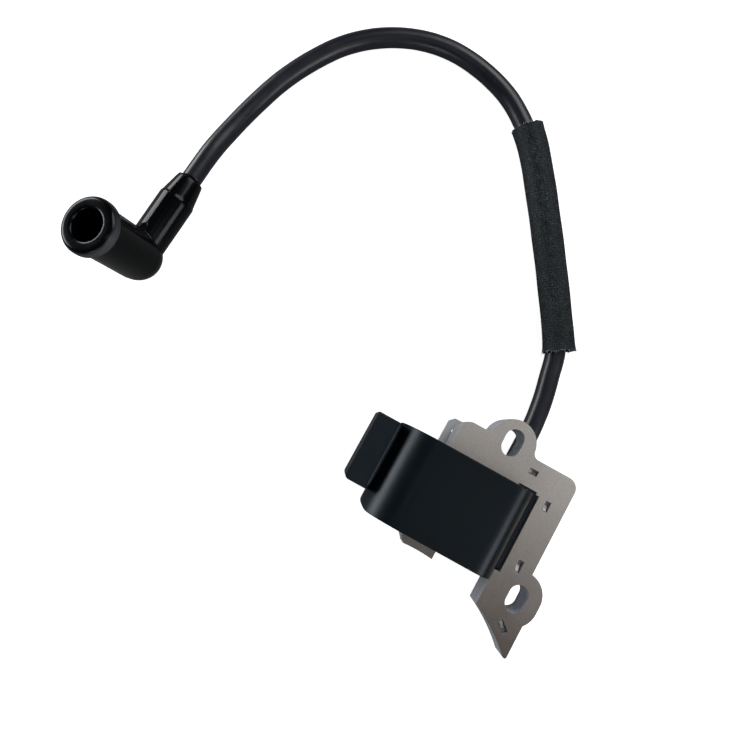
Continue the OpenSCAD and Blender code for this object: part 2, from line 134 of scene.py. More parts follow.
# two octaves of noise on Object coordinates: a cloudy mask and a fine height
def makeGrainGroup():
    tree, given, out = newGroup(
        "surfaceGrain",
        [("Cloud Scale", "NodeSocketFloat", 120.0), ("Grain Scale", "NodeSocketFloat", 2500.0),
         ("Low", "NodeSocketFloat", 0.3), ("High", "NodeSocketFloat", 0.5)],
        [("Roughness", "NodeSocketFloat"), ("Cloud", "NodeSocketFloat"),
         ("Height", "NodeSocketFloat")])
    where = tree.nodes.new("ShaderNodeTexCoord").outputs["Object"]
    cloud = addNode(tree, "ShaderNodeTexNoise",
                    {"Vector": where, "Scale": given["Cloud Scale"], "Detail": 5.0,
                     "Roughness": 0.6}).outputs["Fac"]
    grain = addNode(tree, "ShaderNodeTexNoise",
                    {"Vector": where, "Scale": given["Grain Scale"], "Detail": 3.0}).outputs["Fac"]
    spread = addNode(tree, "ShaderNodeMapRange",
                     {"Value": cloud, "From Min": 0.3, "From Max": 0.7, "To Min": given["Low"],
                      "To Max": given["High"]}).outputs["Result"]
    tree.links.new(spread, out["Roughness"])
    tree.links.new(cloud, out["Cloud"])
    tree.links.new(grain, out["Height"])
    return tree


# noise stretched along one direction, for rolled, brushed or drawn surfaces
def makeStreakGroup():
    tree, given, out = newGroup(
        "drawnStreaks",
        [("Stretch", "NodeSocketVector", (1.0, 1.0, 1.0)), ("Scale", "NodeSocketFloat", 900.0)],
        [("Streak", "NodeSocketFloat")])
    where = tree.nodes.new("ShaderNodeTexCoord").outputs["Object"]
    pulled = addNode(tree, "ShaderNodeVectorMath", {0: where, 1: given["Stretch"]},
                     operation="MULTIPLY").outputs[0]
    streak = addNode(tree, "ShaderNodeTexNoise",
                     {"Vector": pulled, "Scale": given["Scale"], "Detail": 4.0,
                      "Roughness": 0.55}).outputs["Fac"]
    tree.links.new(streak, out["Streak"])
    return tree


# sine ridges across one axis of a coordinate, as turns of wire or edges of sheets
def makeRidgeGroup():
    tree, given, out = newGroup(
        "evenRidges",
        [("Coordinate", "NodeSocketFloat", 0.0), ("Pitch", "NodeSocketFloat", 0.0005)],
        [("Ridge", "NodeSocketFloat"), ("Cell", "NodeSocketFloat")])
    turns = mathNode(tree, "DIVIDE", given["Coordinate"], given["Pitch"])
    wave = mathNode(tree, "SINE", mathNode(tree, "MULTIPLY", turns, 2 * math.pi))
    ridge = mathNode(tree, "MULTIPLY_ADD", wave, 0.5, 0.5)
    cell = addNode(tree, "ShaderNodeTexWhiteNoise",
                   {"W": mathNode(tree, "FLOOR", turns)}, noise_dimensions="1D").outputs["Value"]
    tree.links.new(ridge, out["Ridge"])
    tree.links.new(cell, out["Cell"])
    return tree


# small pale dots: cells of a Voronoi pattern, kept only where the cell's own random value
# is high and the distance to its middle is small
def makeDustGroup():
    tree, given, out = newGroup(
        "fineDust",
        [("Scale", "NodeSocketFloat", 900.0), ("Amount", "NodeSocketFloat", 0.2),
         ("Size", "NodeSocketFloat", 0.25)],
        [("Dust", "NodeSocketFloat")])
    where = tree.nodes.new("ShaderNodeTexCoord").outputs["Object"]
    cells = addNode(tree, "ShaderNodeTexVoronoi", {"Vector": where, "Scale": given["Scale"]})
    near = mathNode(tree, "LESS_THAN", cells.outputs["Distance"], given["Size"])
    pick = addNode(tree, "ShaderNodeSeparateColor", {0: cells.outputs["Color"]}).outputs[0]
    kept = mathNode(tree, "LESS_THAN", pick, given["Amount"])
    patches = addNode(tree, "ShaderNodeTexNoise", {"Vector": where, "Scale": 70.0,
                                                   "Detail": 3.0}).outputs["Fac"]
    soft = mathNode(tree, "MULTIPLY", mathNode(tree, "MULTIPLY", near, kept), patches)
    tree.links.new(soft, out["Dust"])
    return tree


grainGroup = makeGrainGroup()
dustGroup = makeDustGroup()
streakGroup = makeStreakGroup()
ridgeGroup = makeRidgeGroup()


def newMaterial(name, base, metallic=0.0, roughness=0.5, **sockets):
    material = bpy.data.materials.new(name)
    material.use_nodes = True
    tree = material.node_tree
    shader = tree.nodes["Principled BSDF"]
    shader.inputs["Base Color"].default_value = rgb(*base)
    shader.inputs["Metallic"].default_value = metallic
    shader.inputs["Roughness"].default_value = roughness
    for key, value in sockets.items():
        shader.inputs[key.replace("_", " ")].default_value = value
    return material, tree, shader


def addBump(tree, shader, height, strength, distance):
    bump = addNode(tree, "ShaderNodeBump",
                   {"Height": height, "Strength": strength, "Distance": distance})
    tree.links.new(bump.outputs["Normal"], shader.inputs["Normal"])


def objectAxis(tree, axis):
    where = tree.nodes.new("ShaderNodeTexCoord").outputs["Object"]
    return addNode(tree, "ShaderNodeSeparateXYZ", {0: where}).outputs[axis]


# moulded or dipped surface: cloudy roughness, a small change of tone and a fine skin
def mouldedFinish(name, base, tone, low, high, cloud=120, grain=2500, bump=0.15, depth=2e-5,
                  **sockets):
    material, tree, shader = newMaterial(name, base, roughness=(low + high) / 2, **sockets)
    skin = placeGroup(tree, grainGroup, {"Cloud Scale": cloud, "Grain Scale": grain,
                                         "Low": low, "High": high})
    tree.links.new(skin["Roughness"], shader.inputs["Roughness"])
    tree.links.new(mixColour(tree, skin["Cloud"], rgb(*base), rgb(*tone)),
                   shader.inputs["Base Color"])
    addBump(tree, shader, skin["Height"], bump, depth)
    return material


# rolled or plated metal: streaks along one direction over a cloudy tone
def metalFinish(name, base, tone, low, high, stretch=(1, 1, 1), streak=900, bump=0.12,
                metallic=0.9, **sockets):
    material, tree, shader = newMaterial(name, base, metallic=metallic,
                                         roughness=(low + high) / 2, **sockets)
    skin = placeGroup(tree, grainGroup, {"Cloud Scale": 60.0, "Grain Scale": 3500.0,
                                         "Low": low, "High": high})
    lines = placeGroup(tree, streakGroup, {"Stretch": stretch, "Scale": streak})
    tint = mathNode(tree, "MULTIPLY_ADD", lines["Streak"], 0.6,
                    mathNode(tree, "MULTIPLY", skin["Cloud"], 0.4))
    tree.links.new(mixColour(tree, tint, rgb(*base), rgb(*tone)), shader.inputs["Base Color"])
    tree.links.new(skin["Roughness"], shader.inputs["Roughness"])
    height = mathNode(tree, "ADD", lines["Streak"], skin["Height"])
    addBump(tree, shader, height, bump, 1.5e-5)
    return material


# ridges of enamelled wire side by side along one axis
def windingFinish(name, base, tone, axis, pitch):
    material, tree, shader = newMaterial(name, base, metallic=0.85, roughness=0.35,
                                         Coat_Weight=0.6, Coat_Roughness=0.15)
    turns = placeGroup(tree, ridgeGroup, {"Coordinate": objectAxis(tree, axis), "Pitch": pitch})
    tree.links.new(mixColour(tree, turns["Cell"], rgb(*base), rgb(*tone)),
                   shader.inputs["Base Color"])
    addBump(tree, shader, turns["Ridge"], 0.8, pitch / 3)
    return material


# stamped sheet: cloudy warm grey face that darkens towards the pole end, painted shade below the housing, bluer
# sheared edges
def sheetFinish(name, face, warm, sheared, low, high):
    material, tree, shader = newMaterial(name, face, metallic=0.7)
    skin = placeGroup(tree, grainGroup, {"Cloud Scale": 150.0, "Grain Scale": 5200.0,
                                         "Low": low, "High": high})
    broad = placeGroup(tree, grainGroup, {"Cloud Scale": 38.0, "Grain Scale": 900.0,
                                          "Low": 0.0, "High": 1.0})
    lines = placeGroup(tree, streakGroup, {"Stretch": (1.0, 0.06, 1.0), "Scale": 2200.0})
    # painted shade: the face darkens towards the pole end, below the housing; the cloudy part of the mix is the
    # steel's own tone
    along = addNode(tree, "ShaderNodeMapRange", {"Value": objectAxis(tree, "Y"),
                                                 "From Min": 0.022, "From Max": -0.03})
    blend = mathNode(tree, "MULTIPLY_ADD", broad["Cloud"], 0.5, along.outputs["Result"])
    mottleAndPaintedShade = mathNode(tree, "SUBTRACT", blend, 0.25, clamp=True)
    tone = mixColour(tree, mottleAndPaintedShade, rgb(*face), rgb(*warm))
    fleck = addNode(tree, "ShaderNodeMapRange", {"Value": skin["Height"], "From Min": 0.35,
                                                 "From Max": 0.65, "To Min": 0.86,
                                                 "To Max": 1.1}).outputs["Result"]
    tone = mixColour(tree, 1.0, tone, fleck, blend="MULTIPLY")
    up = addNode(tree, "ShaderNodeSeparateXYZ",
                 {0: tree.nodes.new("ShaderNodeNewGeometry").outputs["Normal"]}).outputs["Z"]
    side = addNode(tree, "ShaderNodeMapRange", {"Value": mathNode(tree, "ABSOLUTE", up),
                                                "From Min": 0.85, "From Max": 0.35})
    tree.links.new(mixColour(tree, side.outputs["Result"], tone, rgb(*sheared)),
                   shader.inputs["Base Color"])
    tree.links.new(skin["Roughness"], shader.inputs["Roughness"])
    height = mathNode(tree, "ADD", lines["Streak"], skin["Height"])
    addBump(tree, shader, height, 0.35, 2.5e-5)
    return material


# extruded jacket: faint draw lines along the lead, read from its straightened coordinates
def jacketFinish(name, base, tone):
    material, tree, shader = newMaterial(name, base, Coat_Weight=0.2, Coat_Roughness=0.25)
    where = addNode(tree, "ShaderNodeAttribute", attribute_name="straightened").outputs["Vector"]
    pulled = addNode(tree, "ShaderNodeVectorMath", {0: where, 1: (1.0, 1.0, 0.04)},
                     operation="MULTIPLY").outputs[0]
    lines = addNode(tree, "ShaderNodeTexNoise", {"Vector": pulled, "Scale": 1400.0,
                                                 "Detail": 3.0}).outputs["Fac"]
    skin = placeGroup(tree, grainGroup, {"Cloud Scale": 90.0, "Grain Scale": 3800.0,
                                         "Low": 0.30, "High": 0.44})
    tree.links.new(mixColour(tree, skin["Cloud"], rgb(*base), rgb(*tone)),
                   shader.inputs["Base Color"])
    tree.links.new(skin["Roughness"], shader.inputs["Roughness"])
    height = mathNode(tree, "ADD", lines, mathNode(tree, "MULTIPLY", skin["Height"], 0.5))
    addBump(tree, shader, height, 0.25, 2e-5)
    return material


# coated glass sleeve: dark dips between yarns, paler crowns in patches, pale specks and fine fibres across them
def wovenFinish(name, base, crown):
    material, tree, shader = newMaterial(name, base, roughness=0.7, Specular_IOR_Level=0.3)
    raised = addNode(tree, "ShaderNodeAttribute", attribute_name="yarn").outputs["Fac"]
    skin = placeGroup(tree, grainGroup, {"Cloud Scale": 420.0, "Grain Scale": 6500.0,
                                         "Low": 0.5, "High": 0.8})
    specks = placeGroup(tree, dustGroup, {"Scale": 3400.0, "Amount": 0.28, "Size": 0.4})
    high = addNode(tree, "ShaderNodeMapRange", {"Value": raised, "From Min": 0.35,
                                                "From Max": 1.0}).outputs["Result"]
    patchy = addNode(tree, "ShaderNodeMapRange", {"Value": skin["Cloud"], "From Min": 0.38,
                                                  "From Max": 0.66}).outputs["Result"]
    colour = mixColour(tree, mathNode(tree, "MULTIPLY", high, patchy), rgb(*base), rgb(*crown))
    colour = mixColour(tree, specks["Dust"], colour, rgb(0.12, 0.145, 0.16))
    tree.links.new(colour, shader.inputs["Base Color"])
    tree.links.new(skin["Roughness"], shader.inputs["Roughness"])
    addBump(tree, shader, skin["Height"], 0.7, 8e-5)
    return material


# glossy moulded rubber, matte and with a painted grey reflection of the floor where the mesh marks the flange
def rubberFinish(name, base, tone, sheenGrey):
    material, tree, shader = newMaterial(name, base, Specular_IOR_Level=0.26,
                                         Specular_Tint=rgb(0.88, 0.93, 1.0))
    skin = placeGroup(tree, grainGroup, {"Cloud Scale": 95.0, "Grain Scale": 2600.0,
                                         "Low": 0.13, "High": 0.24})
    paintedSheen = addNode(tree, "ShaderNodeAttribute", attribute_name="paintedSheen").outputs["Fac"]
    # painted reflection: grey mixed in where the mesh marks the flange, patchy by the cloud, with rougher rubber
    # there
    patchySheen = mathNode(tree, "MULTIPLY", paintedSheen, mathNode(tree, "ADD", skin["Cloud"], 0.45))
    plain = mixColour(tree, skin["Cloud"], rgb(*base), rgb(*tone))
    tree.links.new(mixColour(tree, patchySheen, plain, rgb(*sheenGrey)), shader.inputs["Base Color"])
    rough = mathNode(tree, "MULTIPLY_ADD", patchySheen, 0.35, skin["Roughness"])
    tree.links.new(rough, shader.inputs["Roughness"])
    addBump(tree, shader, skin["Height"], 0.15, 3e-5)
    return material


# circuit board: mask-coloured skin with pale traces in straight runs
def boardFinish(name, base, trace):
    material, tree, shader = newMaterial(name, base, roughness=0.3, Coat_Weight=0.5)
    where = tree.nodes.new("ShaderNodeTexCoord").outputs["Object"]
    cells = addNode(tree, "ShaderNodeTexVoronoi", {"Vector": where, "Scale": 520.0},
                    distance="CHEBYCHEV").outputs["Distance"]
    runs = addNode(tree, "ShaderNodeMapRange", {"Value": cells, "From Min": 0.42,
                                                "From Max": 0.5}).outputs["Result"]
    tree.links.new(mixColour(tree, runs, rgb(*base), rgb(*trace)), shader.inputs["Base Color"])
    addBump(tree, shader, runs, 0.4, 2e-5)
    return material


finishes = {
    # the second colour of each sheet finish is its darker tone, also used for the painted shade towards the pole
    # end
    "sheetSteel": sheetFinish("sheetSteel", (0.60, 0.565, 0.535), (0.16, 0.135, 0.12),
                              (0.60, 0.64, 0.70), 0.42, 0.58),
    "coreSteel": sheetFinish("coreSteel", (0.40, 0.39, 0.39), (0.20, 0.18, 0.17),
                             (0.74, 0.78, 0.84), 0.45, 0.62),
    # darker than the sheets' steel: painted shade in the dimples where the tongues sit
    "shadedDimpleSteel": metalFinish("shadedDimpleSteel", (0.20, 0.19, 0.18), (0.46, 0.45, 0.43), 0.4, 0.6),
    "shell": mouldedFinish("shell", (0.0006, 0.0025, 0.0045), (0.002, 0.0055, 0.008), 0.28, 0.38,
                           cloud=75, grain=4200, bump=0.5, depth=3e-5,
                           Specular_IOR_Level=0.32, Specular_Tint=rgb(0.80, 0.90, 1.0)),
    "block": mouldedFinish("block", (0.005, 0.009, 0.013), (0.011, 0.016, 0.021), 0.32, 0.46,
                           cloud=160, grain=5200, bump=0.6, depth=4e-5,
                           Specular_IOR_Level=0.30, Specular_Tint=rgb(0.80, 0.90, 1.0)),
    "resin": mouldedFinish("resin", (0.012, 0.010, 0.008), (0.03, 0.024, 0.018), 0.06, 0.2,
                           cloud=45, grain=380, bump=0.25, depth=1.2e-4, Coat_Weight=0.4),
    "bobbin": mouldedFinish("bobbin", (0.62, 0.58, 0.46), (0.72, 0.69, 0.58), 0.35, 0.5,
                            Subsurface_Weight=0.1),
    "primaryWire": windingFinish("primaryWire", (0.55, 0.24, 0.09), (0.68, 0.33, 0.13),
                                 "Y", 0.0005),
    "fineWire": windingFinish("fineWire", (0.40, 0.15, 0.06), (0.5, 0.22, 0.09), "Y", 0.00016),
    "board": boardFinish("board", (0.02, 0.14, 0.06), (0.10, 0.30, 0.12)),
    "partBlack": mouldedFinish("partBlack", (0.012, 0.012, 0.013), (0.02, 0.02, 0.022),
                               0.4, 0.6, grain=6000, bump=0.5),
    "dipped": mouldedFinish("dipped", (0.42, 0.10, 0.035), (0.55, 0.16, 0.06), 0.12, 0.25,
                            cloud=300, grain=900, depth=6e-5, Coat_Weight=0.5),
    "lacquer": mouldedFinish("lacquer", (0.5, 0.38, 0.22), (0.6, 0.48, 0.31), 0.3, 0.5,
                             cloud=420),
    "tinned": metalFinish("tinned", (0.62, 0.64, 0.66), (0.78, 0.79, 0.80), 0.25, 0.42,
                          stretch=(1, 0.08, 1), streak=2400, metallic=0.5),
    "brass": metalFinish("brass", (0.60, 0.43, 0.16), (0.74, 0.56, 0.24), 0.22, 0.38,
                         stretch=(1, 0.1, 1)),
    "springWire": metalFinish("springWire", (0.55, 0.56, 0.57), (0.72, 0.72, 0.73), 0.18, 0.32),
    "jacket": jacketFinish("jacket", (0.0025, 0.004, 0.009), (0.008, 0.011, 0.020)),
    "sleeve": wovenFinish("sleeve", (0.0008, 0.0024, 0.0034), (0.019, 0.031, 0.038)),
    "fibre": mouldedFinish("fibre", (0.45, 0.47, 0.48), (0.62, 0.63, 0.63), 0.4, 0.6),
    # the third colour is the painted grey reflection of the floor on the flange's outer wall
    "rubber": rubberFinish("rubber", (0.0006, 0.0007, 0.001), (0.0015, 0.0017, 0.0024),
                           (0.085, 0.09, 0.10)),
}
print("finishes made:", len(finishes))


def paint(piece, finish):
    piece.data.materials.clear()
    piece.data.materials.append(finishes[finish])


nodeFinish = {
    "potting_resin": "resin", "primary_bobbin": "bobbin", "primary_winding": "primaryWire",
    "secondary_bobbin": "bobbin", "secondary_winding": "fineWire", "circuit_board": "board",
    "switching_transistor": "partBlack", "capacitor": "dipped", "resistors": "lacquer",
    "diodes": "partBlack", "ground_strap": "tinned", "ht_contact": "brass",
    "lead_tail": "jacket", "lead_nose": "jacket",
}
for node, finish in nodeFinish.items():
    paint(frame["nodes"][node], finish)


def addPiece(name, mesh, finish, slotName, body, *nodes):
    piece = newObject(name, mesh)
    paint(piece, finish)
    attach(piece, body)
    if nodes:
        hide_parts(*nodes)
    return piece


# a grid of points (rows, columns, 3) becomes quads; the columns close on themselves, and
# the rows too where loopRows is set; the winding faces outwards for columns that turn
# right-handedly about the direction of the rows
def gridFaces(rows, columns, loopRows=False, start=0):
    i = np.arange(rows if loopRows else rows - 1)[:, None]
    j = np.arange(columns)[None, :]
    below = i * columns
    above = ((i + 1) % rows) * columns
    right = (j + 1) % columns
    quads = np.stack([below + j, below + right, above + right, above + j], axis=-1)
    return quads.reshape(-1, 4) + start


def mergePoints(mesh, distance):
    work = bmesh.new()
    work.from_mesh(mesh)
    bmesh.ops.remove_doubles(work, verts=work.verts, dist=distance)
    work.to_mesh(mesh)
    work.free()


def meshFrom(name, points, faces, smooth=True, merge=0.0):
    mesh = bpy.data.meshes.new(name)
    mesh.from_pydata(points.reshape(-1, 3).tolist(), [], faces.tolist())
    if merge:
        mergePoints(mesh, merge)
    mesh.polygons.foreach_set("use_smooth", np.full(len(mesh.polygons), smooth))
    mesh.update()
    return mesh


def faceOutwards(mesh):
    work = bmesh.new()
    work.from_mesh(mesh)
    bmesh.ops.recalc_face_normals(work, faces=work.faces)
    work.to_mesh(mesh)
    work.free()


def unit(v):
    return v / np.linalg.norm(v, axis=-1, keepdims=True)


# Catmull-Rom through the points: each stretch is the cubic whose end slopes are half the
# step between its neighbours; then resampled at even steps of length
def smoothPath(points, step):
    p = np.vstack([2 * points[0] - points[1], points, 2 * points[-1] - points[-2]])
    t = np.linspace(0, 1, 25)[:-1][None, :, None]
    a, b, c, d = (p[k:len(p) - 3 + k, None, :] for k in range(4))
    curve = 0.5 * (2 * b + (c - a) * t + (2 * a - 5 * b + 4 * c - d) * t ** 2
                   + (3 * b - a - 3 * c + d) * t ** 3)
    curve = np.vstack([curve.reshape(-1, 3), points[-1:]])
    run = np.concatenate([[0], np.cumsum(np.linalg.norm(np.diff(curve, axis=0), axis=1))])
    even = np.linspace(0, run[-1], max(8, int(run[-1] / step)))
    return np.stack([np.interp(even, run, curve[:, k]) for k in range(3)], axis=1), even


# across each point of a nearly level path: one direction to the side, one upright
def pathFrames(path):
    ahead = unit(np.gradient(path, axis=0))
    side = unit(np.cross(ahead, [0.0, 0.0, 1.0]))
    return ahead, side, np.cross(side, ahead)


# circles of the given radii carried along the path, radius may vary over the grid
def tubePoints(path, radius, turns):
    ahead, side, upright = pathFrames(path)
    angle = np.linspace(0, 2 * np.pi, turns, endpoint=False)
    radius = np.broadcast_to(radius, (len(path), turns))[..., None]
    ring = (np.cos(angle)[None, :, None] * side[:, None, :]
            - np.sin(angle)[None, :, None] * upright[:, None, :])
    return path[:, None, :] + radius * ring, angle


# the tube's own straightened coordinates: around it as cosine and sine, then along it
def addStraightened(mesh, radius, angle, along):
    shape = (len(along), len(angle))
    flat = np.stack([np.broadcast_to(radius * np.cos(angle)[None, :], shape),
                     np.broadcast_to(radius * np.sin(angle)[None, :], shape),
                     np.broadcast_to(along[:, None], shape)], axis=-1)
    mesh.attributes.new("straightened", "FLOAT_VECTOR", "POINT").data.foreach_set(
        "vector", flat.astype(np.float32).ravel())


leadRoute = [
    (15.6, -0.15, 3.9), (15.7, 9, 3.9), (15.6, 18, 3.7), (14.8, 26, 3.3),
    (13.2, 33.5, 3.4), (11.2, 40.8, 4), (7.4, 47.2, 4.2), (-0.4, 59.2, 4.2),
    (-8.8, 71.2, 4.2), (-17.4, 83, 4.2), (-24.4, 91.8, 4.2), (-30, 97.4, 3.9),
    (-38.5, 103, 3.2), (-49, 106.2, 3), (-60, 106.9, 3), (-70.5, 104.6, 3),
    (-80.4, 99.4, 3), (-88.6, 92, 3), (-94.8, 82.8, 3), (-99.6, 72.8, 3),
    (-102.9, 62.2, 3.2), (-105, 52, 4.2), (-106.2, 42.6, 5.8), (-106.717, 31.934, 7.0),
]
sleeveRoute = [(12, 41.2), (8.2, 47.3), (0.2, 59.2), (-8.2, 71.2), (-16.8, 83), (-23.4, 91.4),
               (-28.4, 96.6)]
tailLow, tailHigh = (np.array(v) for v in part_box("lead_tail"))
shift = np.array([(tailLow[0] + tailHigh[0]) / 2 - 15.6 * mm, tailHigh[1] + 0.15 * mm, 0])

lead = {"radius": 3.0 * mm, "ringStep": 0.55 * mm, "turns": 48, "swell": 0.006}


def makeLead():
    path, along = smoothPath(np.array(leadRoute) * mm + shift, lead["ringStep"])
    # the jacket's radius breathes by a fraction of a percent along its length
    wave = np.sin(along * 310) + np.sin(along * 790 + 1.3) + 0.6 * np.sin(along * 1730)
    radius = lead["radius"] * (1 + lead["swell"] * (wave / 2.6) - lead["swell"])
    points, angle = tubePoints(path, radius[:, None], lead["turns"])
    # each end closes on a point in its middle, through a ring half way in
    flat = [path[:1, None, :] + (points[:1] - path[:1, None, :]) * k for k in (0.0, 0.5)]
    last = [path[-1:, None, :] + (points[-1:] - path[-1:, None, :]) * k for k in (0.5, 0.0)]
    grid = np.concatenate(flat + [points] + last)
    mesh = meshFrom("sparkLead", grid, gridFaces(len(grid), lead["turns"]))
    run = np.concatenate([[0, 0], along, [along[-1]] * 2])
    addStraightened(mesh, lead["radius"], angle, run)
    mergePoints(mesh, 1e-7)
    return addPiece("sparkLead", mesh, "jacket", "lead_jacket", "coil", "ht_lead"), path, along


leadPiece, leadPath, leadRun = makeLead()
print("lead:", round(leadRun[-1] * 1000), "mm")

sleeve = {
    "radius": 4.7 * mm, "wall": 0.5 * mm, "height": 4.75 * mm, "rows": 470, "turns": 168,
    "innerRows": 120, "yarnsAround": 34, "yarnPitch": 0.82 * mm, "relief": 0.13 * mm,
    "flare": 0.35 * mm, "ragged": 0.11 * mm,
}


def makeSleeve():
    flat = np.array([(x, y, 0) for x, y in sleeveRoute]) * mm + shift
    flat[:, 2] = sleeve["height"]
    coarse, run = smoothPath(flat, 0.2 * mm)
    even = np.linspace(0, run[-1], sleeve["rows"])
    path = np.stack([np.interp(even, run, coarse[:, k]) for k in range(3)], axis=1)
    angle = np.linspace(0, 2 * np.pi, sleeve["turns"], endpoint=False)
    # over-and-under weave: yarns around and yarns along take turns on top, so the height is
    # the rounded crown of whichever lies above in each small square
    u = angle[None, :] / (2 * np.pi) * sleeve["yarnsAround"]
    v = even[:, None] / sleeve["yarnPitch"]
    turn = np.sin(np.pi * u) * np.sin(np.pi * v)
    crownAlong = np.abs(np.sin(np.pi * u)) ** 0.6 * (0.55 + 0.45 * np.sign(turn))
    crownRound = np.abs(np.sin(np.pi * v)) ** 0.6 * (0.55 - 0.45 * np.sign(turn))
    yarn = np.maximum(crownAlong, crownRound)
    slow = 0.06 * np.sin(even * 420)[:, None] + 0.05 * np.sin(2 * angle + 0.7)[None, :]
    # the mouths flare a little, the lower one more, with a ragged cut
    ends = (sleeve["flare"] * 1.2 * np.exp(-even / (1.6 * mm))
            + sleeve["flare"] * 0.7 * np.exp((even - even[-1]) / (2.2 * mm)))[:, None]
    radius = sleeve["radius"] * (1 + 0.12 * slow - 0.02) + ends + sleeve["relief"] * (yarn - 0.6)
    outer, _ = tubePoints(path, radius, sleeve["turns"])
    ragged = sleeve["ragged"] * (np.sin(7 * angle + 0.4) + 0.7 * np.sin(17 * angle) +
                                 0.5 * np.sin(31 * angle + 2))
    ahead = unit(np.gradient(path, axis=0))
    near = np.exp(-even / (2 * mm)) - np.exp((even - even[-1]) / (2 * mm))
    outer = outer + (near[:, None] * ragged[None, :])[..., None] * ahead[:, None, :]
    rows = np.linspace(0, sleeve["rows"] - 1, sleeve["innerRows"]).astype(int)
    centre = path[:, None, :]
    shrink = 1 - sleeve["wall"] / radius[..., None]
    inner = (centre + (outer - centre) * shrink)[rows][::-1]
    grid = np.concatenate([outer, inner])
    mesh = meshFrom("wovenSleeve", grid, gridFaces(len(grid), sleeve["turns"], loopRows=True))
    shade = np.concatenate([yarn, np.broadcast_to(yarn[rows][::-1] * 0.4,
                                                  (len(rows), sleeve["turns"]))])
    mesh.attributes.new("yarn", "FLOAT", "POINT").data.foreach_set(
        "value", np.clip(shade, 0, 1).astype(np.float32).ravel())
    return addPiece("wovenSleeve", mesh, "sleeve", "woven_sleeve", "coil",
                    "abrasion_sleeve"), path, outer


sleevePiece, sleevePath, sleeveOuter = makeSleeve()

fibres = {"count": 150, "length": 1.1 * mm, "thick": 0.035 * mm, "rings": 5, "sides": 4,
          "floor": 0.15 * mm, "seed": 7}


# loose glass ends: thin tubes that leave the cut edge, curl and taper to their tips; each
# follows its start + length * (ahead * (s - 1/4) + away * s squared), so it begins inside
def makeFibres():
    rng = np.random.default_rng(fibres["seed"])
    count = fibres["count"]
    lower = rng.random(count) < 0.6
    row = np.where(lower, 0, len(sleevePath) - 1)
    column = rng.integers(0, sleeve["turns"], count)
    start = sleeveOuter[row, column]
    centre = sleevePath[row]
    ahead = unit(np.where(lower[:, None], sleevePath[0] - sleevePath[1],
                          sleevePath[-1] - sleevePath[-2]))
    away = unit(start - centre) * rng.uniform(-0.5, 0.9, (count, 1))
    away = away + rng.normal(0, 0.35, (count, 3))
    length = fibres["length"] * rng.uniform(0.3, 1.0, (count, 1, 1))
    s = np.linspace(0, 1, fibres["rings"])[None, :, None]
    spine = start[:, None, :] + length * (ahead[:, None, :] * (s - 0.25) + away[:, None, :] * s * s)
    spine[..., 2] = np.maximum(spine[..., 2], fibres["floor"])
    side = unit(np.cross(ahead, away))[:, None, None, :]
    other = unit(np.cross(ahead[:, None, None, :], side))
    sides = fibres["sides"]
    turn = np.linspace(0, 2 * np.pi, sides, endpoint=False)[None, None, :, None]
    thin = fibres["thick"] * (1.02 - s)[..., None]
    points = spine[:, :, None, :] + thin * (np.cos(turn) * side + np.sin(turn) * other)
    size = fibres["rings"] * sides
    first = (np.arange(count) * size)[:, None, None]
    caps = np.stack([np.arange(sides)[::-1], np.arange(size - sides, size)])
    faces = np.vstack([(part[None] + first).reshape(-1, 4)
                       for part in (gridFaces(fibres["rings"], sides), caps)])
    mesh = meshFrom("sleeveFibres", points, faces)
    faceOutwards(mesh)
    return addPiece("sleeveFibres", mesh, "fibre", "woven_sleeve", "coil")


fibrePiece = makeFibres()
print("sleeve and its fibres made")

hinge = frame["joints"][0]
socket = [m for m in frame["record"]["mounts"] if m["name"] == "plug_socket"][0]
elbow = np.array(hinge["pos_m"])
armAxis = unit(np.array(hinge["axis"]))
barrelAxis = unit(np.array(socket["axis"]))
bootSide = unit(np.cross(armAxis, barrelAxis))

boot = {
    "barrel": 6.9, "length": 25.0, "lip": 8.1, "lipHeight": 4.2, "bore": 4.5, "boreFloor": 8.0,
    "cell": 4.0, "cellFloor": -3.0, "arm": 5.35, "shoulder": 20.3, "armLength": 27.0,
    "collar": 3.9, "leadHole": 3.05, "armStart": 4.4, "turns": 72,
    "webPlace": (6.6, 5.2), "webSize": (3.6, 2.4, 0.9), "voxel": 0.24 * mm, "smoothing": 5,
    "seamHeight": 0.2 * mm, "seamWidth": 0.2 * mm,
}


def arc(x, y, r, a0, a1, count=10):
    a = np.radians(np.linspace(a0, a1, count))
    return np.stack([x + r * np.cos(a), y + r * np.sin(a)], axis=1)


# a profile of (radius, height) pairs carried round an axis
def revolvePoints(profile, origin, axis, across, turns):
    other = np.cross(axis, across)
    a = np.linspace(0, 2 * np.pi, turns, endpoint=False)[None, :, None]
    radius = profile[:, 0][:, None, None] * mm
    height = profile[:, 1][:, None, None] * mm
    return origin + height * axis + radius * (np.cos(a) * across + np.sin(a) * other)


# pulls an outline of points to even spacing, so that its rings lie close all the way
def evenProfile(profile, step=0.35):
    run = np.concatenate([[0], np.cumsum(np.linalg.norm(np.diff(profile, axis=0), axis=1))])
    even = np.linspace(0, run[-1], int(run[-1] / step))
    return np.stack([np.interp(even, run, profile[:, k]) for k in range(2)], axis=1)


